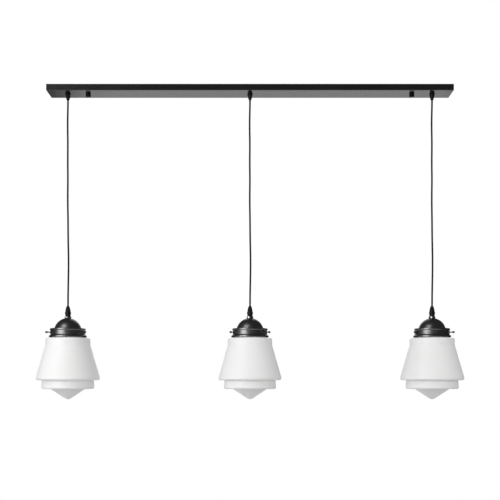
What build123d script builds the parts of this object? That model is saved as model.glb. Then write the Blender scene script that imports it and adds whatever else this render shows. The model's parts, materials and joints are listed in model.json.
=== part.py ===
from build123d import *
import math
import os

# Linear island pendant: a ceiling beam with three lights that hang from it on cords.
# Millimetres. Z is up and the origin is the centre of the mounting bar's top face, against the
# ceiling. X runs along the beam and the viewer stands on the -Y side.

os.makedirs("parts", exist_ok=True)

# ---------------------------------------------------------------- driving sizes
# Ceiling beam: a folded steel tray, open at the top.
beam_length = 1300.0
beam_width = 80.0
beam_depth = 20.0
beam_wall = 1.2
beam_edge_radius = 1.6

# Places along the beam, measured from its ends.
pendant_end_distance = 62.0
stud_end_distance = 127.5
bar_end_distance = 90.0
joist_slot_end_distance = 200.0

# Mounting bar, screwed to the ceiling.
bar_width = 30.0
bar_thickness = 1.5
bar_corner_radius = 3.0
slot_half_width = 2.6
box_slot_spacing = 90.0
box_slot_length = 12.0
joist_slot_length = 16.0
supply_hole_radius = 10.0
supply_hole_x = 20.0

# Studs pressed into the bar, and the knob nuts that hold the beam up on them.
stud_radius = 2.0
stud_head_radius = 3.5
stud_head_height = 0.9
stud_end_proud = 1.4
knob_radius = 8.25
knob_height = 9.5
knob_chamfer = 0.8
knob_flute_radius = 0.7
knob_flute_count = 20

# Cord, and the clearances that everything shares.
cord_radius = 2.8
cord_free_length = 665.0
cord_straight_end = 24.0
neck_length = 16.0
thread_clearance = 0.05
slide_clearance = 0.1
turn_clearance = 0.15
seat_gap = 0.1
body_gap = 0.3
hole_clearance = 0.4

# Upper cord grip: flange under the beam, body, taper, and a shank up through the beam's floor.
upper_flange_radius = 8.5
upper_flange_height = 5.5
upper_flange_chamfer = 1.0
upper_body_radius = 6.9
upper_body_height = 5.5
upper_taper_height = 9.0
grip_mouth_radius = 4.2
grip_mouth_round = 0.8
shank_radius = 5.0
shank_height = 7.2
locknut_half_flats = 7.0
locknut_height = 3.0

# Lower cord grip: a fluted cone, a ridge ring and a foot that stands on the collar.
grip_cone_height = 20.0
grip_cone_radius = 8.6
grip_cone_bulge = 1.0
grip_ring_radius = 10.0
grip_ring_height = 4.0
grip_ring_round = 0.6
grip_foot_height = 8.5
grip_foot_top_radius = 9.2
grip_foot_radius = 8.2
grip_socket_depth = 10.0
flute_count = 10
flute_radius = 1.5
flute_depth = 0.7

# Collar between grip and dome, with one radial screw.
collar_height = 7.5
collar_top_radius = 8.8
collar_belly_radius = 10.8
collar_foot_radius = 9.9
collar_screw_angle = 246.0
collar_screw_radius = 1.75
collar_screw_head_radius = 2.8
collar_screw_head_height = 1.7
collar_screw_seat_inset = 1.0
screw_slot_width = 0.7
screw_slot_depth = 0.6

# Dome cap: spun steel.
sheet_wall = 1.2
dome_height = 32.6
dome_bulge = 6.36
dome_flat_border = 1.1
dome_inset = 13.9

# Gallery: the cup that holds the glass.
gallery_rim_height = 5.0
gallery_rim_step = 1.6
gallery_rim_slope = 1.4
gallery_waist_height = 14.1
gallery_flare = 5.0
gallery_flare_height = 3.0
gallery_lip_height = 4.0
gallery_top_round = 1.6
gallery_rim_round = 1.4
gallery_waist_round = 0.6
gallery_flare_round = 4.0
gallery_lip_round = 1.6
gallery_boss_radius = 3.6
gallery_boss_height = 3.4

# Thumbscrews, three to a gallery.
thumb_screw_depth = 13.0
thumb_screw_radius = 1.75
thumb_head_radius = 3.2
thumb_head_length = 6.4
thumb_head_chamfer = 0.6
thumb_head_distance = 9.0
thumb_flute_radius = 0.4
thumb_flute_count = 14
thumb_screw_angles = {"1": 90.0, "2": 210.0, "3": 330.0}

# Glass shade, outside sizes; the heights are of its bands from the top down.
glass_wall = 3.0
glass_neck_radius = 50.6
glass_neck_height = 21.5
glass_lip_width = 3.0
glass_lip_height = 3.5
glass_lip_round = 1.2
glass_lip_clearance = 0.6
glass_band_radius = 71.6
glass_shoulder_drop = 2.8
glass_band_height = 21.7
glass_rim_radius = 101.4
glass_skirt_height = 103.5
glass_rim_height = 9.7
glass_step_width = 19.0
glass_tier_flare = 2.6
glass_tier_height = 28.0
glass_cone_inset = 29.9
glass_cone_drop = 36.6
glass_tip_radius = 16.0
glass_neck_round = 4.0
glass_shoulder_round = 4.0
glass_band_round = 12.0
glass_rim_top_round = 12.0
glass_rim_round = 6.0
glass_step_round = 2.5
glass_tier_round = 6.0
glass_cone_round = 2.0

# Nipple, lampholder and bulb.
nipple_radius = 5.0
nipple_bore_radius = 3.5
nipple_engagement = 8.0
lampholder_radius = 20.0
lampholder_height = 52.0
lampholder_top_radius = 14.0
lampholder_shoulder = 9.0
lampholder_crown = 1.5
chamber_radius = 11.0
chamber_height = 10.0
cord_in_chamber = 4.0
socket_depth = 29.0
socket_clearance = 0.5
bulb_cap_radius = 12.3
bulb_thread_height = 0.9
bulb_thread_count = 5
bulb_thread_pitch = 3.6
bulb_contact_radius = 4.5
bulb_contact_height = 1.5
bulb_insulator_height = 3.5
bulb_cap_height = 27.0
bulb_neck_radius = 12.0
bulb_shoulder_radius = 25.0
bulb_radius = 30.0
bulb_height = 80.0
bulb_wall = 0.8

# Terminal block, earth stud and inner wires, on the beam's floor.
block_x = 120.0
block_length = 20.0
block_width = 30.0
block_height = 13.0
pole_spacing = 9.0
pole_slot_width = 2.4
block_screw_radius = 1.5
block_screw_recess = 0.5
block_screw_inset = 5.0
wire_radius = 0.85
wire_end_inset = 4.0
wire_entry_height = 4.4
wire_stack = 2.2
wire_rise = 6.0
wire_row_pitch = 1.85
lane_pitch = 2.4
end_lane_y = -28.6
center_lane_y = -18.2
center_lane_drop = 1.5
turn_x = 16.0
turn_stagger = 0.9
landing_x = 42.0
spread_x = 62.0
gather_x = 20.0
wire_row_angle = 29.2
corner_share = 0.45
earth_stud_x = 170.0
earth_stud_y = 24.0
earth_stud_radius = 2.0
earth_stud_height = 9.0
earth_nut_half_flats = 3.5
earth_nut_height = 3.2
eyelet_radius = 4.2
eyelet_thickness = 0.8
eyelet_tab_length = 7.5
eyelet_tab_width = 3.0

# ---------------------------------------------------------------- places worked out from the sizes
pendant_x = beam_length / 2 - pendant_end_distance
pendants = {"left": -pendant_x, "center": 0.0, "right": pendant_x}
stud_x = beam_length / 2 - stud_end_distance
floor_z = beam_wall - beam_depth

bore_radius = cord_radius + body_gap
upper_grip_height = upper_flange_height + upper_body_height + upper_taper_height
upper_mouth_z = -beam_depth - upper_grip_height
swing_z = upper_mouth_z - neck_length
lower_mouth_z = upper_mouth_z - cord_free_length
grip_ring_top_z = lower_mouth_z - grip_cone_height
grip_foot_top_z = grip_ring_top_z - grip_ring_height
collar_top_z = grip_foot_top_z - grip_foot_height
dome_top_z = collar_top_z - collar_height
gallery_top_z = dome_top_z - dome_height
holder_top_z = gallery_top_z - sheet_wall
holder_bottom_z = holder_top_z - lampholder_height
nipple_bottom_z = holder_top_z - nipple_engagement
chamber_top_z = holder_top_z - lampholder_shoulder
cord_bottom_z = chamber_top_z - cord_in_chamber
socket_top_z = holder_bottom_z + socket_depth
bulb_tip_z = socket_top_z - body_gap
bulb_glass_z = bulb_tip_z - bulb_cap_height
shank_top_z = shank_height - beam_depth
cord_end_top_z = shank_top_z + body_gap

fitting_hole_radius = nipple_radius + thread_clearance
gallery_waist_radius = glass_neck_radius + glass_lip_width + glass_lip_clearance + sheet_wall
gallery_rim_radius = gallery_waist_radius + gallery_rim_step
gallery_lip_radius = gallery_waist_radius + gallery_flare
dome_base_radius = gallery_rim_radius - dome_inset
dome_flat_radius = collar_foot_radius + dome_flat_border
thumb_screw_z = gallery_top_z - thumb_screw_depth
glass_lip_bottom_z = thumb_screw_z + thumb_screw_radius + body_gap
glass_top_z = glass_lip_bottom_z + glass_lip_height


# ---------------------------------------------------------------- helpers
def save(part, name):
    """Label one finished piece and write it as its own file."""
    part.label = name
    export_step(part, f"parts/{name}.step")


def radial_plane(angle, height, distance=0.0):
    """A plane that faces outward from the light's own axis, at that angle and distance."""
    turn = math.radians(angle)
    outward = Vector(math.cos(turn), math.sin(turn), 0)
    return Plane(origin=outward * distance + Vector(0, 0, height), x_dir=(0, 0, 1), z_dir=outward)


def corner_radii(route):
    """The largest arc that each corner of a route has room for, a share of its shorter run."""
    points = [Vector(*point) for point in route]
    radii = []
    for before, corner, after in zip(points, points[1:], points[2:]):
        half_turn = math.radians((corner - before).get_angle(after - corner)) / 2
        shorter_run = min((corner - before).length, (after - corner).length)
        radii.append(corner_share * shorter_run / math.tan(half_turn))
    return radii


# ---------------------------------------------------------------- mounting bar and studs
with BuildPart() as mounting_bar:
    with BuildSketch(Plane.XY.offset(-bar_thickness)):
        RectangleRounded(beam_length - 2 * bar_end_distance, bar_width, bar_corner_radius)
        with Locations((supply_hole_x, 0)):
            Circle(supply_hole_radius, mode=Mode.SUBTRACT)
        with GridLocations(box_slot_spacing, 0, 2, 1):
            SlotOverall(box_slot_length, 2 * slot_half_width, mode=Mode.SUBTRACT)
        with GridLocations(beam_length - 2 * joist_slot_end_distance, 0, 2, 1):
            SlotOverall(joist_slot_length, 2 * slot_half_width, mode=Mode.SUBTRACT)
        with GridLocations(2 * stud_x, 0, 2, 1):
            Circle(stud_radius + thread_clearance, mode=Mode.SUBTRACT)
    extrude(amount=bar_thickness)
    with BuildSketch(Plane.XY):
        with GridLocations(2 * stud_x, 0, 2, 1):
            Circle(stud_head_radius + thread_clearance)
    extrude(amount=-stud_head_height - seat_gap, mode=Mode.SUBTRACT)
save(mounting_bar.part, "mounting_bar")

stud_bottom_z = -beam_depth - seat_gap - knob_height - stud_end_proud
with BuildPart() as mounting_studs:
    with BuildSketch(Plane.XY.offset(-seat_gap)):
        with GridLocations(2 * stud_x, 0, 2, 1):
            Circle(stud_head_radius)
    extrude(amount=-stud_head_height)
    with BuildSketch(Plane.XY.offset(stud_bottom_z)):
        with GridLocations(2 * stud_x, 0, 2, 1):
            Circle(stud_radius)
    extrude(amount=-stud_bottom_z - seat_gap)
save(mounting_studs.part, "mounting_studs")

# ---------------------------------------------------------------- ceiling beam
with BuildPart() as ceiling_beam:
    with BuildSketch(Plane.XY.offset(-beam_depth)):
        RectangleRounded(beam_length, beam_width, beam_edge_radius)
    extrude(amount=beam_depth)
    fillet(ceiling_beam.faces().sort_by(Axis.Z)[0].edges(), beam_edge_radius)
    with BuildSketch(Plane.XY.offset(floor_z)):
        RectangleRounded(
            beam_length - 2 * beam_wall,
            beam_width - 2 * beam_wall,
            beam_edge_radius - beam_wall,
        )
    extrude(amount=-floor_z, mode=Mode.SUBTRACT)
    with BuildSketch(Plane.XY.offset(-beam_depth)):
        with Locations(*[(x, 0) for x in pendants.values()]):
            Circle(shank_radius + slide_clearance)
        with GridLocations(2 * stud_x, 0, 2, 1):
            Circle(stud_radius + hole_clearance)
    extrude(amount=beam_depth, mode=Mode.SUBTRACT)
save(ceiling_beam.part, "ceiling_beam")

# ---------------------------------------------------------------- knob nuts
knob_top_z = -beam_depth - seat_gap
for side, x in {"left": -stud_x, "right": stud_x}.items():
    with BuildPart() as knob_nut:
        with BuildSketch(Plane.XY.offset(knob_top_z - knob_height)):
            with Locations((x, 0)):
                Circle(knob_radius)
        extrude(amount=knob_height)
        chamfer(knob_nut.edges().filter_by(GeomType.CIRCLE), knob_chamfer)
        with BuildSketch(Plane.XY.offset(knob_top_z - knob_height)):
            with Locations((x, 0)):
                Circle(stud_radius + turn_clearance)
                with PolarLocations(knob_radius, knob_flute_count):
                    Circle(knob_flute_radius)
        extrude(amount=knob_height, mode=Mode.SUBTRACT)
    save(knob_nut.part, f"knob_nut_{side}")

# ---------------------------------------------------------------- upper cord grips
flange_bottom_z = -beam_depth - upper_flange_height
taper_top_z = upper_mouth_z + upper_taper_height
with BuildPart() as upper_grip:
    with BuildSketch(Plane.XZ):
        with BuildLine():
            Polyline(
                (bore_radius, shank_top_z),
                (shank_radius, shank_top_z),
                (shank_radius, -beam_depth),
                (upper_flange_radius - upper_flange_chamfer, -beam_depth),
                (upper_flange_radius, -beam_depth - upper_flange_chamfer),
                (upper_flange_radius, flange_bottom_z + upper_flange_chamfer),
                (upper_flange_radius - upper_flange_chamfer, flange_bottom_z),
                (upper_body_radius, flange_bottom_z),
                (upper_body_radius, taper_top_z),
                (grip_mouth_radius, upper_mouth_z + grip_mouth_round),
                (grip_mouth_radius - grip_mouth_round, upper_mouth_z),
                (bore_radius, upper_mouth_z),
                close=True,
            )
        make_face()
    revolve(axis=Axis.Z)
for side, x in pendants.items():
    save(Pos(x, 0, 0) * upper_grip.part, f"upper_grip_{side}")

with BuildPart() as upper_grip_locknuts:
    with BuildSketch(Plane.XY.offset(floor_z)):
        with Locations(*[(x, 0) for x in pendants.values()]):
            RegularPolygon(locknut_half_flats, 6, major_radius=False)
            Circle(shank_radius + thread_clearance, mode=Mode.SUBTRACT)
    extrude(amount=locknut_height)
save(upper_grip_locknuts.part, "upper_grip_locknuts")

# The jacketed cord ends, from the top of the hinge point up into the beam.
cord_end_bottom_z = upper_mouth_z + cord_radius + body_gap
with BuildPart() as cord_ends:
    with BuildSketch(Plane.XY.offset(cord_end_bottom_z)):
        with Locations(*[(x, 0) for x in pendants.values()]):
            Circle(cord_radius)
    extrude(amount=cord_end_top_z - cord_end_bottom_z)
save(cord_ends.part, "cord_ends")

# ---------------------------------------------------------------- terminal block and its screws
entry_low_z = floor_z + wire_entry_height
entry_high_z = entry_low_z + wire_stack
block_top_z = floor_z + block_height
pole_slot_height = wire_stack + pole_slot_width
with BuildPart() as terminal_block:
    with BuildSketch(Plane.XY.offset(floor_z)):
        with Locations((block_x, 0)):
            Rectangle(block_length, block_width)
    extrude(amount=block_height)
    with BuildSketch(Plane.YZ.offset(block_x - block_length / 2)):
        with Locations((0, (entry_low_z + entry_high_z) / 2)):
            with GridLocations(pole_spacing, 0, 3, 1):
                Rectangle(pole_slot_width, pole_slot_height)
    extrude(amount=block_length, mode=Mode.SUBTRACT)
    with BuildSketch(Plane.XY.offset(entry_high_z)):
        with Locations((block_x, 0)):
            with GridLocations(2 * block_screw_inset, pole_spacing, 2, 3):
                Circle(block_screw_radius + thread_clearance)
    extrude(amount=block_height, mode=Mode.SUBTRACT)
save(terminal_block.part, "terminal_block")

screw_tip_z = entry_high_z + wire_radius + seat_gap
with BuildPart() as terminal_screws:
    with BuildSketch(Plane.XY.offset(screw_tip_z)):
        with Locations((block_x, 0)):
            with GridLocations(2 * block_screw_inset, pole_spacing, 2, 3):
                Circle(block_screw_radius)
    extrude(amount=block_top_z - block_screw_recess - screw_tip_z)
    with BuildSketch(Plane.XY.offset(block_top_z - block_screw_recess - screw_slot_depth)):
        with Locations((block_x, 0)):
            with GridLocations(2 * block_screw_inset, pole_spacing, 2, 3):
                Rectangle(2 * block_screw_radius, screw_slot_width)
    extrude(amount=screw_slot_depth, mode=Mode.SUBTRACT)
save(terminal_screws.part, "terminal_screws")

# ---------------------------------------------------------------- earth stud with its nut
with BuildPart() as earth_screw:
    with BuildSketch(Plane.XY.offset(floor_z)):
        with Locations((earth_stud_x, earth_stud_y)):
            Circle(earth_stud_radius)
    extrude(amount=earth_stud_height)
    with BuildSketch(Plane.XY.offset(floor_z + eyelet_thickness + 2 * seat_gap)):
        with Locations((earth_stud_x, earth_stud_y)):
            RegularPolygon(earth_nut_half_flats, 6, major_radius=False)
            Circle(earth_stud_radius + thread_clearance, mode=Mode.SUBTRACT)
    extrude(amount=earth_nut_height)
save(earth_screw.part, "earth_screw")

# ---------------------------------------------------------------- inner wires
# Each cord's three wires leave it side by side, run along the beam's floor in lanes and spread
# out to their poles. Number -1 is line, 0 is neutral and 1 is earth.
lane_z = floor_z + wire_radius + seat_gap
rise_z = cord_end_top_z + wire_rise
row_direction = Vector(1, 0, 0).rotate(Axis.Z, wire_row_angle)


def wire_route(start_x, toward, number):
    """A wire's way from one of the end lights' cords to the terminal block, on the floor."""
    row = wire_row_pitch * number
    first = (start_x + toward * row * row_direction.X, row * row_direction.Y)
    lane_y = end_lane_y + lane_pitch * number
    pole_y = pole_spacing * number
    entry_z = entry_low_z if toward > 0 else entry_high_z
    return [
        (*first, cord_end_top_z),
        (*first, rise_z),
        (start_x + toward * (turn_x + turn_stagger * number), lane_y, rise_z),
        (start_x + toward * landing_x, lane_y, lane_z),
        (block_x - toward * spread_x, lane_y, lane_z),
        (block_x - toward * gather_x, pole_y, entry_z),
        (block_x - toward * wire_end_inset, pole_y, entry_z),
    ]


def center_wire_route(number):
    """A wire's way from the middle light's cord, over the wires of the left one."""
    row = wire_row_pitch * number
    first = (row * row_direction.X, row * row_direction.Y)
    lane_y = center_lane_y + lane_pitch * number
    pole_y = pole_spacing * number
    return [
        (*first, cord_end_top_z),
        (*first, rise_z),
        (turn_x + turn_stagger * number, lane_y, rise_z),
        (landing_x, lane_y, rise_z - center_lane_drop),
        (block_x - gather_x, pole_y, entry_high_z),
        (block_x - wire_end_inset, pole_y, entry_high_z),
    ]


def pendant_routes(number):
    """The three wires of one kind, one from each cord."""
    return [
        wire_route(-pendant_x, 1, number),
        center_wire_route(number),
        wire_route(pendant_x, -1, number),
    ]


with BuildPart() as supply_wires:
    for route in pendant_routes(-1) + pendant_routes(0):
        with BuildLine() as way:
            FilletPolyline(*route, radius=corner_radii(route))
        with BuildSketch(Plane(origin=way.line @ 0, z_dir=way.line % 0)):
            Circle(wire_radius)
        sweep(path=way.line)
save(supply_wires.part, "supply_wires")

earth_link = [
    (block_x + wire_end_inset, pole_spacing, entry_low_z),
    (block_x + gather_x + wire_end_inset, pole_spacing, entry_low_z),
    (earth_stud_x - turn_x, earth_stud_y, lane_z),
    (earth_stud_x - eyelet_tab_length + eyelet_tab_width / 2, earth_stud_y, lane_z),
]
with BuildPart() as earth_wires:
    for route in pendant_routes(1) + [earth_link]:
        with BuildLine() as way:
            FilletPolyline(*route, radius=corner_radii(route))
        with BuildSketch(Plane(origin=way.line @ 0, z_dir=way.line % 0)):
            Circle(wire_radius)
        sweep(path=way.line)
    with BuildSketch(Plane.XY.offset(floor_z + seat_gap)):
        with Locations((earth_stud_x, earth_stud_y)):
            Circle(eyelet_radius)
        with Locations((earth_stud_x - eyelet_tab_length / 2, earth_stud_y)):
            Rectangle(eyelet_tab_length, eyelet_tab_width)
        with Locations((earth_stud_x, earth_stud_y)):
            Circle(earth_stud_radius + slide_clearance, mode=Mode.SUBTRACT)
    extrude(amount=eyelet_thickness)
save(earth_wires.part, "earth_wires")

# ================================================================ one light, on the middle axis
# ---------------------------------------------------------------- cord
# The cord bends where it leaves the upper grip: its first stretch turns about one axis and the
# rest about the other, each on a round end.
with BuildPart() as cord_neck:
    with Locations((0, 0, upper_mouth_z)):
        Sphere(cord_radius)
    with BuildSketch(Plane.XY.offset(upper_mouth_z)):
        Circle(cord_radius)
    extrude(amount=swing_z + cord_radius + body_gap - upper_mouth_z)

# The cord hangs taut, with the slight wave that it keeps from its coil. The points are chosen by
# hand: sideways, in depth, and down from the ceiling.
cord_route = [
    (0.0, 0.0, swing_z),
    (-1.5, 0.4, -117.0),
    (-0.2, -0.3, -180.0),
    (-0.9, 0.2, -240.0),
    (-0.1, -0.4, -297.0),
    (-1.0, 0.1, -360.0),
    (0.1, 0.5, -425.0),
    (0.5, -0.1, -490.0),
    (2.1, 0.3, -560.0),
    (1.2, -0.2, -620.0),
    (0.0, 0.0, lower_mouth_z + cord_straight_end),
    (0.0, 0.0, cord_bottom_z),
]
with BuildPart() as cord:
    with BuildLine() as cord_way:
        FilletPolyline(*cord_route, radius=corner_radii(cord_route))
    with BuildSketch(Plane(origin=cord_way.line @ 0, z_dir=cord_way.line % 0)):
        Circle(cord_radius)
    sweep(path=cord_way.line)
    tube_volume = cord.part.volume
    with Locations((0, 0, swing_z)):
        Sphere(cord_radius)
print("cord radii:", [round(radius) for radius in corner_radii(cord_route)])
section_times_length = math.pi * cord_radius**2 * cord_way.wire().length
print("cord volume over section times length:", round(tube_volume / section_times_length, 5))

# ---------------------------------------------------------------- lower cord grip
flute_slope = math.degrees(math.atan2(grip_cone_radius - grip_mouth_radius, grip_cone_height))
flute_middle = (grip_cone_radius + grip_mouth_radius) / 2 + grip_cone_bulge + flute_radius
nipple_top_z = collar_top_z + grip_socket_depth
with BuildPart() as lower_grip:
    with BuildSketch(Plane.XZ):
        with BuildLine():
            Line((bore_radius, lower_mouth_z), (grip_mouth_radius, lower_mouth_z))
            SagittaArc(
                (grip_mouth_radius, lower_mouth_z),
                (grip_cone_radius, grip_ring_top_z),
                grip_cone_bulge,
            )
            FilletPolyline(
                (grip_cone_radius, grip_ring_top_z),
                (grip_ring_radius, grip_ring_top_z),
                (grip_ring_radius, grip_foot_top_z),
                (grip_foot_top_radius, grip_foot_top_z),
                (grip_foot_radius, collar_top_z),
                radius=[grip_ring_round, grip_ring_round, 0],
            )
            Polyline(
                (grip_foot_radius, collar_top_z),
                (fitting_hole_radius, collar_top_z),
                (fitting_hole_radius, nipple_top_z + body_gap),
                (bore_radius, nipple_top_z + body_gap),
                (bore_radius, lower_mouth_z),
            )
        make_face()
    revolve(axis=Axis.Z)
    with Locations((0, 0, lower_mouth_z - grip_cone_height / 2)):
        with PolarLocations(flute_middle - flute_depth, flute_count):
            Cylinder(
                flute_radius,
                grip_cone_height - grip_ring_round,
                rotation=(0, -flute_slope, 0),
                mode=Mode.SUBTRACT,
            )

# ---------------------------------------------------------------- collar and its screw
collar_screw_z = (collar_top_z + dome_top_z) / 2
collar_seat = collar_belly_radius - collar_screw_seat_inset
with BuildPart() as collar:
    with BuildSketch(Plane.XZ):
        with BuildLine():
            ThreePointArc(
                (collar_top_radius, collar_top_z),
                (collar_belly_radius, collar_screw_z),
                (collar_foot_radius, dome_top_z),
            )
            Polyline(
                (collar_foot_radius, dome_top_z),
                (fitting_hole_radius, dome_top_z),
                (fitting_hole_radius, collar_top_z),
                (collar_top_radius, collar_top_z),
            )
        make_face()
    revolve(axis=Axis.Z)
    with BuildSketch(radial_plane(collar_screw_angle, collar_screw_z)):
        Circle(collar_screw_radius + thread_clearance)
    extrude(amount=collar_belly_radius, mode=Mode.SUBTRACT)
    with BuildSketch(radial_plane(collar_screw_angle, collar_screw_z, collar_seat)):
        Circle(collar_screw_head_radius + seat_gap)
    extrude(amount=collar_belly_radius, mode=Mode.SUBTRACT)

collar_screw_tip = fitting_hole_radius + seat_gap
with BuildPart() as collar_screw:
    with BuildSketch(radial_plane(collar_screw_angle, collar_screw_z, collar_screw_tip)):
        Circle(collar_screw_radius)
    extrude(amount=collar_seat - collar_screw_tip)
    with BuildSketch(radial_plane(collar_screw_angle, collar_screw_z, collar_seat)):
        Circle(collar_screw_head_radius)
    extrude(amount=collar_screw_head_height)
    head_face = collar_seat + collar_screw_head_height
    with BuildSketch(radial_plane(collar_screw_angle, collar_screw_z, head_face)):
        Rectangle(screw_slot_width, 2 * collar_screw_head_radius)
    extrude(amount=-screw_slot_depth, mode=Mode.SUBTRACT)

# ---------------------------------------------------------------- dome cap
dome_inside_z = dome_top_z - sheet_wall
dome_inside_radius = dome_base_radius - sheet_wall
with BuildPart() as dome_cap:
    with BuildSketch(Plane.XZ):
        with BuildLine():
            Line((fitting_hole_radius, dome_top_z), (dome_flat_radius, dome_top_z))
            SagittaArc(
                (dome_flat_radius, dome_top_z),
                (dome_base_radius, gallery_top_z),
                dome_bulge,
            )
            Line((dome_base_radius, gallery_top_z), (dome_inside_radius, gallery_top_z))
            SagittaArc(
                (dome_flat_radius, dome_inside_z),
                (dome_inside_radius, gallery_top_z),
                dome_bulge,
            )
            Polyline(
                (dome_flat_radius, dome_inside_z),
                (fitting_hole_radius, dome_inside_z),
                (fitting_hole_radius, dome_top_z),
            )
        make_face()
    revolve(axis=Axis.Z)

# ---------------------------------------------------------------- gallery
rim_bottom_z = gallery_top_z - gallery_rim_height
waist_top_z = rim_bottom_z - gallery_rim_slope
waist_bottom_z = waist_top_z - gallery_waist_height
lip_top_z = waist_bottom_z - gallery_flare_height
with BuildPart() as gallery:
    with BuildSketch(Plane.XZ):
        with BuildLine():
            FilletPolyline(
                (fitting_hole_radius, gallery_top_z),
                (gallery_rim_radius, gallery_top_z),
                (gallery_rim_radius, rim_bottom_z),
                (gallery_waist_radius, waist_top_z),
                (gallery_waist_radius, waist_bottom_z),
                (gallery_lip_radius, lip_top_z),
                (gallery_lip_radius, lip_top_z - gallery_lip_height),
                radius=[
                    gallery_top_round,
                    gallery_rim_round,
                    gallery_waist_round,
                    gallery_flare_round,
                    gallery_lip_round,
                ],
            )
            offset(amount=sheet_wall, side=Side.RIGHT)
        make_face()
    revolve(axis=Axis.Z)
    for angle in thumb_screw_angles.values():
        with BuildSketch(radial_plane(angle, thumb_screw_z, gallery_waist_radius - sheet_wall / 2)):
            Circle(gallery_boss_radius)
        extrude(amount=gallery_boss_height + sheet_wall / 2)
        with BuildSketch(radial_plane(angle, thumb_screw_z, glass_neck_radius)):
            Circle(thumb_screw_radius + slide_clearance)
        extrude(amount=gallery_rim_radius, mode=Mode.SUBTRACT)

# ---------------------------------------------------------------- thumbscrews
thumb_tip = glass_neck_radius + body_gap
thumb_head_start = gallery_waist_radius + gallery_boss_height + thumb_head_distance


def thumb_screw(angle):
    """One knurled thumbscrew, with its tip against the glass neck, below the glass's lip."""
    with BuildPart() as screw:
        with BuildSketch(radial_plane(angle, thumb_screw_z, thumb_head_start)):
            Circle(thumb_head_radius)
        extrude(amount=thumb_head_length)
        chamfer(screw.edges().filter_by(GeomType.CIRCLE), thumb_head_chamfer)
        with BuildSketch(radial_plane(angle, thumb_screw_z, thumb_head_start)):
            with PolarLocations(thumb_head_radius, thumb_flute_count):
                Circle(thumb_flute_radius)
        extrude(amount=thumb_head_length, mode=Mode.SUBTRACT)
        with BuildSketch(radial_plane(angle, thumb_screw_z, thumb_tip)):
            Circle(thumb_screw_radius)
        extrude(amount=thumb_head_start - thumb_tip)
    return screw.part


# ---------------------------------------------------------------- glass shade
shoulder_z = glass_top_z - glass_neck_height
band_top_z = shoulder_z - glass_shoulder_drop
band_bottom_z = band_top_z - glass_band_height
rim_top_z = band_bottom_z - glass_skirt_height
step_z = rim_top_z - glass_rim_height
tier_bottom_z = step_z - glass_tier_height
step_radius = glass_rim_radius - glass_step_width
tier_radius = step_radius + glass_tier_flare
cone_radius = tier_radius - glass_cone_inset
cone_angle = math.atan2(glass_cone_drop, cone_radius)
tip_center_z = tier_bottom_z - glass_cone_drop + glass_tip_radius / math.cos(cone_angle)
cone_end = (
    glass_tip_radius * math.sin(cone_angle),
    tip_center_z - glass_tip_radius * math.cos(cone_angle),
)
with BuildPart() as glass_shade:
    with BuildSketch(Plane.XZ):
        with BuildLine():
            FilletPolyline(
                (glass_neck_radius, glass_top_z),
                (glass_neck_radius, shoulder_z),
                (glass_band_radius, band_top_z),
                (glass_band_radius, band_bottom_z),
                (glass_rim_radius, rim_top_z),
                (glass_rim_radius, step_z),
                (step_radius, step_z),
                (tier_radius, tier_bottom_z),
                (cone_radius, tier_bottom_z),
                cone_end,
                radius=[
                    glass_neck_round,
                    glass_shoulder_round,
                    glass_band_round,
                    glass_rim_top_round,
                    glass_rim_round,
                    glass_step_round,
                    glass_tier_round,
                    glass_cone_round,
                ],
            )
            CenterArc(
                (0, tip_center_z),
                glass_tip_radius,
                math.degrees(cone_angle) - 90,
                -math.degrees(cone_angle),
            )
            offset(amount=glass_wall, side=Side.RIGHT)
        make_face()
    revolve(axis=Axis.Z)
    with BuildSketch(Plane.XZ):
        with BuildLine():
            FilletPolyline(
                (glass_neck_radius - glass_lip_round, glass_top_z),
                (glass_neck_radius + glass_lip_width, glass_top_z),
                (glass_neck_radius + glass_lip_width, glass_lip_bottom_z),
                (glass_neck_radius - glass_lip_round, glass_lip_bottom_z),
                radius=[glass_lip_round, glass_lip_round],
            )
            Line(
                (glass_neck_radius - glass_lip_round, glass_lip_bottom_z),
                (glass_neck_radius - glass_lip_round, glass_top_z),
            )
        make_face()
    revolve(axis=Axis.Z)

# ---------------------------------------------------------------- nipple
with BuildPart() as nipple:
    with BuildSketch(Plane.XY.offset(nipple_bottom_z)):
        Circle(nipple_radius)
        Circle(nipple_bore_radius, mode=Mode.SUBTRACT)
    extrude(amount=nipple_top_z - nipple_bottom_z)

# ---------------------------------------------------------------- lampholder
socket_radius = bulb_cap_radius + bulb_thread_height + socket_clearance
chamber_bottom_z = chamber_top_z - chamber_height
with BuildPart() as lampholder:
    with BuildSketch(Plane.XZ):
        with BuildLine():
            Polyline(
                (fitting_hole_radius, chamber_top_z),
                (fitting_hole_radius, holder_top_z),
                (lampholder_top_radius, holder_top_z),
            )
            SagittaArc(
                (lampholder_top_radius, holder_top_z),
                (lampholder_radius, chamber_top_z),
                lampholder_crown,
            )
            Polyline(
                (lampholder_radius, chamber_top_z),
                (lampholder_radius, holder_bottom_z),
                (socket_radius, holder_bottom_z),
                (socket_radius, socket_top_z),
                (0, socket_top_z),
                (0, chamber_bottom_z),
                (chamber_radius, chamber_bottom_z),
                (chamber_radius, chamber_top_z),
                (fitting_hole_radius, chamber_top_z),
            )
        make_face()
    revolve(axis=Axis.Z)

# ---------------------------------------------------------------- bulb
shell_top_z = bulb_tip_z - bulb_contact_height - bulb_insulator_height
with BuildPart() as bulb_cap:
    with BuildSketch(Plane.XZ):
        with BuildLine():
            Polyline(
                (0, bulb_tip_z),
                (bulb_contact_radius, bulb_tip_z),
                (bulb_contact_radius, bulb_tip_z - bulb_contact_height),
                (bulb_cap_radius, shell_top_z),
                (bulb_cap_radius, bulb_glass_z),
                (0, bulb_glass_z),
                close=True,
            )
        make_face()
    revolve(axis=Axis.Z)
    for turn in range(bulb_thread_count):
        with Locations((0, 0, shell_top_z - bulb_thread_pitch * (turn + 0.5))):
            Torus(bulb_cap_radius, bulb_thread_height)

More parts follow.
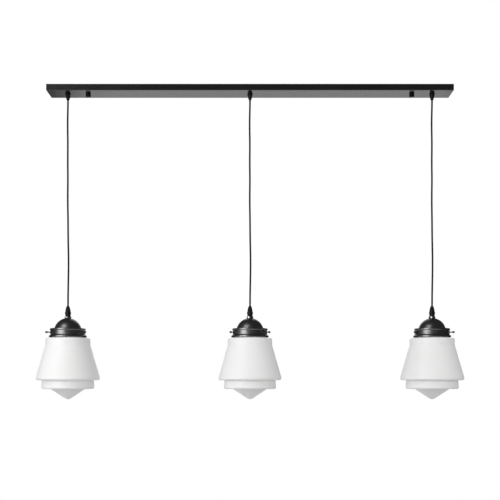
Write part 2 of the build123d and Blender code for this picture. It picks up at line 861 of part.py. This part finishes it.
bulb_center_z = bulb_glass_z - bulb_height + bulb_radius
shoulder_reach = bulb_radius + bulb_shoulder_radius
shoulder_turn = math.asin((bulb_neck_radius + bulb_shoulder_radius) / shoulder_reach)
neck_bottom_z = bulb_center_z + shoulder_reach * math.cos(shoulder_turn)
with BuildPart() as bulb_glass:
    with BuildSketch(Plane.XZ):
        with BuildLine():
            Line((bulb_neck_radius, bulb_glass_z), (bulb_neck_radius, neck_bottom_z))
            TangentArc(
                (bulb_neck_radius, neck_bottom_z),
                (
                    bulb_radius * math.sin(shoulder_turn),
                    bulb_center_z + bulb_radius * math.cos(shoulder_turn),
                ),
                tangent=(0, -1),
            )
            CenterArc(
                (0, bulb_center_z),
                bulb_radius,
                90 - math.degrees(shoulder_turn),
                math.degrees(shoulder_turn) - 180,
            )
            offset(amount=bulb_wall, side=Side.RIGHT)
        make_face()
    revolve(axis=Axis.Z)

# ---------------------------------------------------------------- the three lights
light_pieces = {
    "cord_neck": cord_neck.part,
    "cord": cord.part,
    "lower_grip": lower_grip.part,
    "collar": collar.part,
    "collar_screw": collar_screw.part,
    "dome_cap": dome_cap.part,
    "gallery": gallery.part,
    "glass_shade": glass_shade.part,
    "nipple": nipple.part,
    "lampholder": lampholder.part,
    "bulb_cap": bulb_cap.part,
    "bulb_glass": bulb_glass.part,
}
for side, x in pendants.items():
    for name, piece in light_pieces.items():
        save(Pos(x, 0, 0) * piece, f"{name}_{side}")
    for number, angle in thumb_screw_angles.items():
        save(Pos(x, 0, 0) * thumb_screw(angle), f"thumb_screw_{side}_{number}")
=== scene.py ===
import json
import math

import bmesh
import bpy
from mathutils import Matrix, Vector


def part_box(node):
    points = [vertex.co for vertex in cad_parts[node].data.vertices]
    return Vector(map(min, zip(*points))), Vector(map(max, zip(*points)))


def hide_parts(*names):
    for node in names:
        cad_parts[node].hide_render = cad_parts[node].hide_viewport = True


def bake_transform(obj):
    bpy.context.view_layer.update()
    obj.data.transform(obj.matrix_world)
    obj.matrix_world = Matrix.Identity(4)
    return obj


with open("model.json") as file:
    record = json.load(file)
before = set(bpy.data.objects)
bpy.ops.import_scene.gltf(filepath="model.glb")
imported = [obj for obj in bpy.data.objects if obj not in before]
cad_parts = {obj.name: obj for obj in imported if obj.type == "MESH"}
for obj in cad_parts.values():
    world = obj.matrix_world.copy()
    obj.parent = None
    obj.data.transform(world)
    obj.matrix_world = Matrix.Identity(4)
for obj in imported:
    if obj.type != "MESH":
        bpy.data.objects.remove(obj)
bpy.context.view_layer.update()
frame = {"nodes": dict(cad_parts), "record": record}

SIDES = ("left", "center", "right")


# ---------------------------------------------------------------- places read from the frame
def axis_of(node):
    """The x and y of the middle of a round CAD node."""
    low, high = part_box(node)
    return (low[0] + high[0]) / 2, (low[1] + high[1]) / 2


AXES = {side: axis_of(f"glass_shade_{side}") for side in SIDES}

# ---------------------------------------------------------------- camera
# The photograph's camera looks level along the beam's middle, from below it. Its picture is
# shifted up, so the horizon lies low in the frame and the uprights stay parallel.
CAMERA_DISTANCE = 2.9
CAMERA_HEIGHT = -0.94
SENSOR_WIDTH = 36.0
LENS = 64.63
SHIFT_UP = 0.2578
CLIP_END = 60.0

camera_data = bpy.data.cameras.new("photo_camera")
camera_data.sensor_width = SENSOR_WIDTH
camera_data.lens = LENS
camera_data.shift_y = SHIFT_UP
camera_data.clip_end = CLIP_END
camera = bpy.data.objects.new("photo_camera", camera_data)
camera.location = (0.0, -CAMERA_DISTANCE, CAMERA_HEIGHT)
camera.rotation_euler = (math.radians(90), 0, 0)
bpy.context.scene.collection.objects.link(camera)
bpy.context.scene.camera = camera

# ---------------------------------------------------------------- cords
CORD_RADIUS = 0.0028
CORD_SIDES = 20
CORD_TOP_RINGS = 5
CORD_TOP_TURN = 80.0
CORD_CURVE_ORDER = 3
CORD_CURVE_STEPS = 24
# The heights of the two hinges of a cord: the upper grip's mouth, and the swing just below it.
CORD_MOUTH = -0.040
CORD_SWING = -0.056
# The route's points, from the upper grip's mouth down to the lampholder: sideways and in depth
# from the light's own axis, and the height. They are the points of the CAD cord, in metres.
CORD_ROUTE = [
    (0.0, 0.0, CORD_MOUTH),
    (0.0, 0.0, CORD_SWING),
    (-0.0015, 0.0004, -0.117),
    (-0.0002, -0.0003, -0.180),
    (-0.0009, 0.0002, -0.240),
    (-0.0001, -0.0004, -0.297),
    (-0.0010, 0.0001, -0.360),
    (0.0001, 0.0005, -0.425),
    (0.0005, -0.0001, -0.490),
    (0.0021, 0.0003, -0.560),
    (0.0012, -0.0002, -0.620),
    (0.0, 0.0, -0.681),
    (0.0, 0.0, -0.7916),
]


def spline_points(route, name):
    """The points along the smooth NURBS line of a route."""
    curve = bpy.data.curves.new(name, "CURVE")
    curve.dimensions = "3D"
    spline = curve.splines.new("NURBS")
    spline.points.add(len(route) - 1)
    for point, place in zip(spline.points, route):
        point.co = (*place, 1.0)
    spline.order_u = CORD_CURVE_ORDER
    spline.use_endpoint_u = True
    spline.resolution_u = CORD_CURVE_STEPS
    holder = bpy.data.objects.new(name, curve)
    mesh = bpy.data.meshes.new_from_object(holder)
    line = [Vector(vertex.co) for vertex in mesh.vertices]
    bpy.data.objects.remove(holder)
    bpy.data.curves.remove(curve)
    bpy.data.meshes.remove(mesh)
    return line


def ring(shape, middle, radius, across, other):
    """The vertices of one ring of a cord."""
    turns = [2 * math.pi * side / CORD_SIDES for side in range(CORD_SIDES)]
    return [
        shape.verts.new(middle + radius * (math.cos(turn) * across + math.sin(turn) * other))
        for turn in turns
    ]


def tube(name, line, radius):
    """A closed round tube along a nearly upright line, with a ball for its upper end."""
    shape = bmesh.new()
    rings = []
    for step in range(CORD_TOP_RINGS, 0, -1):
        rise = math.radians(CORD_TOP_TURN * step / CORD_TOP_RINGS)
        middle = line[0] + Vector((0, 0, radius * math.sin(rise)))
        rings.append(ring(shape, middle, radius * math.cos(rise), Vector((1, 0, 0)), Vector((0, 1, 0))))
    for number, place in enumerate(line):
        before = line[max(number - 1, 0)]
        after = line[min(number + 1, len(line) - 1)]
        along = (after - before).normalized()
        across = along.cross(Vector((0, 1, 0))).normalized()
        rings.append(ring(shape, place, radius, across, across.cross(along).normalized()))
    for upper, lower in zip(rings, rings[1:]):
        for side in range(CORD_SIDES):
            after = (side + 1) % CORD_SIDES
            shape.faces.new((upper[side], upper[after], lower[after], lower[side]))
    shape.faces.new(rings[0])
    shape.faces.new(list(reversed(rings[-1])))
    bmesh.ops.recalc_face_normals(shape, faces=shape.faces)
    for face in shape.faces:
        face.smooth = len(face.verts) == 4
    mesh = bpy.data.meshes.new(name)
    shape.to_mesh(mesh)
    shape.free()
    piece = bpy.data.objects.new(name, mesh)
    bpy.context.scene.collection.objects.link(piece)
    return piece


def make_cord(side):
    """One light's cord, from the upper grip to the lampholder."""
    x, y = AXES[side]
    route = [(x + dx, y + dy, z) for dx, dy, z in CORD_ROUTE]
    line = spline_points(route, f"cord_line_{side}")
    piece = tube(f"hanging_cord_{side}", line, CORD_RADIUS)
    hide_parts(f"cord_neck_{side}", f"cord_{side}")
    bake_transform(piece)
    return piece


cords = [make_cord(side) for side in SIDES]


# ---------------------------------------------------------------- material tools
def new_node(tree, kind, **values):
    """A new node, with its inputs (with _ for spaces) or settings by name."""
    node = tree.nodes.new(kind)
    for key, value in values.items():
        socket = key.replace("_", " ")
        if socket in node.inputs:
            node.inputs[socket].default_value = value
        else:
            setattr(node, key, value)
    return node


class Shader:
    """A node material under construction: one Principled shader and what feeds it."""

    def __init__(self, name):
        self.material = bpy.data.materials.new(name)
        self.material.use_nodes = True
        self.tree = self.material.node_tree
        self.shader = self.tree.nodes["Principled BSDF"]
        self.place = self.add("ShaderNodeTexCoord").outputs["Object"]

    def add(self, kind, **values):
        return new_node(self.tree, kind, **values)

    def link(self, output, socket):
        self.tree.links.new(output, socket)

    def set(self, **values):
        """Fixed values on the Principled shader's own sockets, by name with _ for spaces."""
        for key, value in values.items():
            self.shader.inputs[key.replace("_", " ")].default_value = value

    def noise(self, scale, detail=3.0, stretch=(1, 1, 1)):
        """A noise value over the object's own coordinates."""
        mapping = self.add("ShaderNodeMapping", Scale=stretch)
        noise = self.add("ShaderNodeTexNoise", Scale=scale, Detail=detail)
        self.link(self.place, mapping.inputs["Vector"])
        self.link(mapping.outputs["Vector"], noise.inputs["Vector"])
        return noise.outputs["Fac"]

    def wave(self, direction, pitch):
        """A sine value that repeats every pitch along a direction."""
        dot = self.add("ShaderNodeVectorMath", operation="DOT_PRODUCT")
        dot.inputs[1].default_value = direction
        scale = self.add("ShaderNodeMath", operation="MULTIPLY")
        scale.inputs[1].default_value = 2 * math.pi / pitch
        sine = self.add("ShaderNodeMath", operation="SINE")
        self.link(self.place, dot.inputs[0])
        self.link(dot.outputs["Value"], scale.inputs[0])
        self.link(scale.outputs["Value"], sine.inputs[0])
        return sine.outputs["Value"]

    def color(self, value, low, high, start=0.3, end=0.7):
        """A base colour that runs from low to high as value goes from start to end."""
        ramp = self.add("ShaderNodeValToRGB")
        first, last = ramp.color_ramp.elements
        first.position, first.color = start, (*low, 1)
        last.position, last.color = end, (*high, 1)
        self.link(value, ramp.inputs["Fac"])
        self.link(ramp.outputs["Color"], self.shader.inputs["Base Color"])

    def roughness(self, value, low, high, start=0.3, end=0.7):
        """A roughness that runs from low to high as value goes from start to end."""
        spread = self.add("ShaderNodeMapRange", From_Min=start, From_Max=end, To_Min=low, To_Max=high)
        self.link(value, spread.inputs["Value"])
        self.link(spread.outputs["Result"], self.shader.inputs["Roughness"])

    def bump(self, height, distance, strength):
        """A bump from a height value, over any bump made before."""
        bump = self.add("ShaderNodeBump", Strength=strength, Distance=distance)
        self.link(height, bump.inputs["Height"])
        normal = self.shader.inputs["Normal"]
        if normal.is_linked:
            self.link(normal.links[0].from_socket, bump.inputs["Normal"])
        self.link(bump.outputs["Normal"], normal)


# ---------------------------------------------------------------- materials
def satin_paint(name, low, high, rough_low, rough_high):
    """Satin black powder coat: fine orange peel and a slightly uneven sheen."""
    paint = Shader(name)
    paint.color(paint.noise(scale=6.0, detail=4.0), low, high)
    paint.roughness(paint.noise(scale=38.0, detail=5.0), rough_low, rough_high)
    paint.set(IOR=1.5)
    paint.bump(paint.noise(scale=900.0, detail=2.0), distance=0.00002, strength=0.2)
    return paint


def beam_paint():
    """The beam's coat, with the long faint waves of folded sheet."""
    low, high = (0.007, 0.0068, 0.0068), (0.011, 0.0105, 0.0105)
    paint = satin_paint("beam_powder_coat", low, high, 0.22, 0.27)
    paint.set(IOR=1.56, Specular_Tint=(1.0, 0.96, 0.95, 1))
    waves = paint.noise(scale=14.0, detail=2.0, stretch=(0.25, 1, 1))
    paint.bump(waves, distance=0.0003, strength=0.12)
    return paint.material


def head_paint():
    """Spun steel under black satin paint: faint rings round the light's axis."""
    low, high = (0.004, 0.004, 0.0042), (0.008, 0.0078, 0.008)
    paint = satin_paint("spun_black_paint", low, high, 0.32, 0.38)
    paint.set(IOR=2.0, Specular_IOR_Level=1.0)
    rings = paint.noise(scale=1.0, detail=3.0, stretch=(2, 2, 900))
    paint.bump(rings, distance=0.00006, strength=0.35)
    return paint.material


def grip_plastic():
    """Moulded black plastic, duller than the paint."""
    low, high = (0.004, 0.004, 0.0042), (0.009, 0.009, 0.0092)
    paint = satin_paint("moulded_black_plastic", low, high, 0.38, 0.50)
    paint.set(Specular_IOR_Level=0.25)
    return paint.material


def knob_metal():
    """Dull black plating on the knurled knob nuts."""
    low, high = (0.004, 0.004, 0.004), (0.008, 0.008, 0.0082)
    paint = satin_paint("knob_black", low, high, 0.38, 0.50)
    paint.set(Specular_IOR_Level=0.2)
    return paint.material


def metal(name, low, high, rough_low, rough_high):
    """Bare or plated metal with a fine grain."""
    steel = Shader(name)
    steel.set(Metallic=1.0)
    steel.color(steel.noise(scale=120.0, detail=4.0), low, high)
    steel.roughness(steel.noise(scale=300.0), rough_low, rough_high)
    steel.bump(steel.noise(scale=1500.0, detail=2.0), distance=0.00002, strength=0.4)
    return steel


def threaded(name, direction, low, high, pitch):
    """A turned screw whose shank carries a fine thread along a direction."""
    screw = metal(name, low, high, 0.28, 0.42)
    screw.bump(screw.wave(direction, pitch), distance=0.0002, strength=0.6)
    return screw.material


def cord_jacket():
    """A round textile-covered cord: two crossing sets of fine threads."""
    cloth = Shader("cord_braid")
    patches = cloth.noise(scale=220.0, stretch=(1, 1, 0.3))
    cloth.color(patches, (0.006, 0.006, 0.006), (0.015, 0.0148, 0.0145))
    cloth.set(Roughness=0.80, Specular_IOR_Level=0.06)
    for lean in (0.9, -0.9):
        threads = cloth.wave(direction=(lean, lean * 0.35, 0.55), pitch=0.0011)
        cloth.bump(threads, distance=0.00012, strength=0.5)
    return cloth.material


def opal_glass():
    """White opal glass: milky, glossy outside, with the faint waviness of blown glass."""
    glass = Shader("opal_glass")
    glass.color(glass.noise(scale=9.0), (0.90, 0.90, 0.892), (0.925, 0.925, 0.923))
    glass.roughness(glass.noise(scale=24.0), 0.42, 0.50)
    glass.set(IOR=1.5, Subsurface_Weight=0.15, Subsurface_Scale=0.012, Subsurface_Radius=(1, 1, 1))
    waves = glass.noise(scale=22.0, detail=2.0, stretch=(1, 1, 0.5))
    glass.bump(waves, distance=0.0008, strength=0.10)
    return glass.material


def porcelain():
    """Glazed porcelain of the lampholders."""
    glaze = Shader("glazed_porcelain")
    glaze.color(glaze.noise(scale=60.0), (0.78, 0.77, 0.73), (0.86, 0.85, 0.82))
    glaze.roughness(glaze.noise(scale=45.0), 0.12, 0.24)
    glaze.bump(glaze.noise(scale=80.0, detail=2.0), distance=0.0002, strength=0.2)
    return glaze.material


def bulb_coat():
    """White coated bulb glass."""
    coat = Shader("bulb_white_coat")
    coat.color(coat.noise(scale=50.0), (0.88, 0.88, 0.86), (0.94, 0.94, 0.93))
    coat.roughness(coat.noise(scale=70.0), 0.22, 0.34)
    coat.bump(coat.noise(scale=400.0, detail=2.0), distance=0.00004, strength=0.3)
    return coat.material


def nylon():
    """Natural nylon of the terminal block."""
    block = Shader("natural_nylon")
    block.color(block.noise(scale=150.0), (0.70, 0.69, 0.64), (0.80, 0.79, 0.75))
    block.roughness(block.noise(scale=90.0), 0.38, 0.5)
    block.bump(block.noise(scale=700.0, detail=2.0), distance=0.00004, strength=0.4)
    return block.material


def wire_sheath(name):
    """The smooth surface of wire insulation, without its colour."""
    wire = Shader(name)
    wire.roughness(wire.noise(scale=200.0), 0.3, 0.45)
    wire.bump(wire.noise(scale=900.0, detail=2.0), distance=0.00002, strength=0.3)
    return wire


def supply_insulation():
    """Brown insulation of the line and neutral wires."""
    wire = wire_sheath("supply_insulation")
    wire.color(wire.noise(scale=70.0), (0.13, 0.06, 0.03), (0.19, 0.09, 0.05))
    return wire.material


def earth_insulation():
    """Green insulation with a yellow stripe that winds along it."""
    wire = wire_sheath("earth_insulation")
    stripe = wire.wave(direction=(1.0, 0.6, 0.8), pitch=0.02)
    wire.color(stripe, (0.10, 0.32, 0.04), (0.75, 0.62, 0.05), start=0.45, end=0.55)
    return wire.material


UP = (0, 0, 1)
STUD_PITCH = 0.0007
SCREW_PITCH = 0.0008
SCREW_ANGLES = {"1": 90.0, "2": 210.0, "3": 330.0}

MATERIALS = {
    "beam_paint": beam_paint(),
    "head_paint": head_paint(),
    "grip_plastic": grip_plastic(),
    "cord_jacket": cord_jacket(),
    "zinc_steel": metal("zinc_plate", (0.50, 0.51, 0.52), (0.66, 0.67, 0.68), 0.28, 0.42).material,
    "stud_steel": threaded("stud_thread", UP, (0.32, 0.32, 0.32), (0.46, 0.46, 0.46), STUD_PITCH),
    "knob_finish": knob_metal(),
    "bright_steel": metal("bright_plate", (0.42, 0.42, 0.42), (0.52, 0.52, 0.52), 0.30, 0.38).material,
    "opal_glass": opal_glass(),
    "porcelain": porcelain(),
    "cap_metal": metal("rolled_cap", (0.66, 0.65, 0.62), (0.78, 0.77, 0.74), 0.2, 0.34).material,
    "bulb_coat": bulb_coat(),
    "block_nylon": nylon(),
    "brass_metal": metal("plain_brass", (0.58, 0.42, 0.18), (0.72, 0.54, 0.26), 0.22, 0.36).material,
    "supply_insulation": supply_insulation(),
    "earth_insulation": earth_insulation(),
}
# a thumbscrew's thread runs along its own axis, outward from the light
for number, angle in SCREW_ANGLES.items():
    outward = (math.cos(math.radians(angle)), math.sin(math.radians(angle)), 0)
    low, high = (0.05, 0.05, 0.052), (0.11, 0.11, 0.115)
    screw_name = f"thumb_screw_steel_{number}"
    MATERIALS[f"screw_finish_{number}"] = threaded(screw_name, outward, low, high, SCREW_PITCH)


def dress(piece, material):
    """Give a piece one material."""
    piece.data.materials.clear()
    piece.data.materials.append(material)


slots = {row["node"]: row["material_slot"] for row in frame["record"]["subparts"]}
for node, piece in frame["nodes"].items():
    slot = slots[node]
    if slot == "screw_finish":
        slot = f"screw_finish_{node[-1]}"
    dress(piece, MATERIALS[slot])
for piece in cords:
    dress(piece, MATERIALS["cord_jacket"])


# ---------------------------------------------------------------- floor and backdrop
FLOOR_Z = -2.1
STAGE_LEFT = -1.55
STAGE_RIGHT = 1.85
STAGE_FRONT = -7.0
STAGE_BACK = 5.0
STAGE_HEIGHT = 7.0
STAGE_CURVE = 1.2
STAGE_CURVE_STEPS = 12
STAGE_COLOR = (0.55, 0.55, 0.55, 1)
WHITE = (1, 1, 1, 1)
# The floor under the object, out to these distances from its axis, is seen lit in part.
SHADOW_NEAR = 0.8
SHADOW_FAR = 1.5
SHADOW_SHARE = 0.5
SHADOW_FLOOR_TONE = 0.8


def stage_material():
    """A white sweep that the camera, gloss and glass see as white, and that stays pale in the light."""
    material = bpy.data.materials.new("white_sweep")
    material.use_nodes = True
    tree = material.node_tree
    tree.nodes.remove(tree.nodes["Principled BSDF"])
    link = tree.links.new

    path = new_node(tree, "ShaderNodeLightPath")
    seen = path.outputs["Is Camera Ray"]
    for name in ("Is Glossy Ray", "Is Transmission Ray"):
        either = new_node(tree, "ShaderNodeMath", operation="MAXIMUM")
        link(seen, either.inputs[0])
        link(path.outputs[name], either.inputs[1])
        seen = either.outputs["Value"]
    pale = new_node(tree, "ShaderNodeBsdfDiffuse", Color=STAGE_COLOR)
    white = new_node(tree, "ShaderNodeEmission", Color=WHITE, Strength=1.0)
    sweep = new_node(tree, "ShaderNodeMixShader")
    link(seen, sweep.inputs["Fac"])
    link(pale.outputs["BSDF"], sweep.inputs[1])
    link(white.outputs["Emission"], sweep.inputs[2])

    # under the object the camera sees lit floor in part, so that the floor keeps its shadow
    place = new_node(tree, "ShaderNodeNewGeometry")
    flat = new_node(tree, "ShaderNodeVectorMath", operation="MULTIPLY")
    flat.inputs[1].default_value = (1, 1, 0)
    reach = new_node(tree, "ShaderNodeVectorMath", operation="LENGTH")
    under = new_node(
        tree,
        "ShaderNodeMapRange",
        interpolation_type="SMOOTHSTEP",
        From_Min=SHADOW_NEAR,
        From_Max=SHADOW_FAR,
        To_Min=1.0,
        To_Max=0.0,
    )
    glow = new_node(tree, "ShaderNodeMath", operation="MULTIPLY_ADD")
    glow.inputs[1].default_value = -SHADOW_SHARE
    glow.inputs[2].default_value = 1.0
    tone = new_node(tree, "ShaderNodeMath", operation="MULTIPLY")
    tone.inputs[1].default_value = SHADOW_FLOOR_TONE
    floor_glow = new_node(tree, "ShaderNodeEmission")
    floor_lit = new_node(tree, "ShaderNodeBsdfDiffuse")
    floor_seen = new_node(tree, "ShaderNodeAddShader")
    link(place.outputs["Position"], flat.inputs[0])
    link(flat.outputs["Vector"], reach.inputs[0])
    link(reach.outputs["Value"], under.inputs["Value"])
    link(under.outputs["Result"], glow.inputs[0])
    link(under.outputs["Result"], tone.inputs[0])
    link(glow.outputs["Value"], floor_glow.inputs["Strength"])
    link(tone.outputs["Value"], floor_lit.inputs["Color"])
    link(floor_glow.outputs["Emission"], floor_seen.inputs[0])
    link(floor_lit.outputs["BSDF"], floor_seen.inputs[1])

    view = new_node(tree, "ShaderNodeMixShader")
    link(path.outputs["Is Camera Ray"], view.inputs["Fac"])
    link(sweep.outputs["Shader"], view.inputs[1])
    link(floor_seen.outputs["Shader"], view.inputs[2])
    link(view.outputs["Shader"], tree.nodes["Material Output"].inputs["Surface"])
    return material


def make_stage():
    """A floor that curves up into a backdrop."""
    profile = [(STAGE_FRONT, FLOOR_Z)]
    for step in range(STAGE_CURVE_STEPS + 1):
        turn = math.pi / 2 * step / STAGE_CURVE_STEPS
        profile.append((
            STAGE_BACK - STAGE_CURVE + STAGE_CURVE * math.sin(turn),
            FLOOR_Z + STAGE_CURVE - STAGE_CURVE * math.cos(turn),
        ))
    profile.append((STAGE_BACK, FLOOR_Z + STAGE_HEIGHT))
    corners = [(side, y, z) for y, z in profile for side in (STAGE_LEFT, STAGE_RIGHT)]
    faces = [(2 * i, 2 * i + 1, 2 * i + 3, 2 * i + 2) for i in range(len(profile) - 1)]
    mesh = bpy.data.meshes.new("white_sweep")
    mesh.from_pydata(corners, [], faces)
    sweep = bpy.data.objects.new("white_sweep", mesh)
    bpy.context.scene.collection.objects.link(sweep)
    dress(sweep, stage_material())


make_stage()


# ---------------------------------------------------------------- light
LIGHT_TARGET = Vector((0.0, 0.0, -0.6))
# name: place, width, height, power, and whether gloss shows it
SOFT_BOXES = {
    "key_box": ((-2.7, -2.9, -0.4), 2.5, 2.4, 70, True),
    "top_box": ((-2.2, -2.7, 2.3), 2.4, 2.0, 30, True),
    "fill_box": ((3.2, -2.6, -0.2), 2.4, 2.4, 30, False),
    "back_box": ((0.6, 3.4, 0.6), 2.4, 1.6, 26, False),
}

for name, (place, width, height, power, in_gloss) in SOFT_BOXES.items():
    data = bpy.data.lights.new(name, "AREA")
    data.shape = "RECTANGLE"
    data.size = width
    data.size_y = height
    data.energy = power
    lamp = bpy.data.objects.new(name, data)
    lamp.location = place
    lamp.rotation_euler = (LIGHT_TARGET - Vector(place)).to_track_quat("-Z", "Y").to_euler()
    lamp.visible_glossy = in_gloss
    bpy.context.scene.collection.objects.link(lamp)

AIR_LIGHT = 0.50
AIR_IN_GLOSS = 0.05
AIR_IN_CAMERA = 1.0
AIR_SEEN = {"Is Camera Ray": AIR_IN_CAMERA, "Is Glossy Ray": AIR_IN_GLOSS}

world = bpy.data.worlds.new("studio_air")
world.use_nodes = True
world_tree = world.node_tree
background = world_tree.nodes["Background"]
background.inputs["Color"].default_value = WHITE
ray = new_node(world_tree, "ShaderNodeLightPath")
strength = None
for name, level in AIR_SEEN.items():
    step = new_node(world_tree, "ShaderNodeMath", operation="MULTIPLY_ADD")
    step.inputs[1].default_value = level - AIR_LIGHT
    step.inputs[2].default_value = AIR_LIGHT
    world_tree.links.new(ray.outputs[name], step.inputs[0])
    if strength:
        world_tree.links.new(strength, step.inputs[2])
    strength = step.outputs["Value"]
world_tree.links.new(strength, background.inputs["Strength"])
bpy.context.scene.world = world
bpy.context.scene.view_settings.view_transform = "Standard"
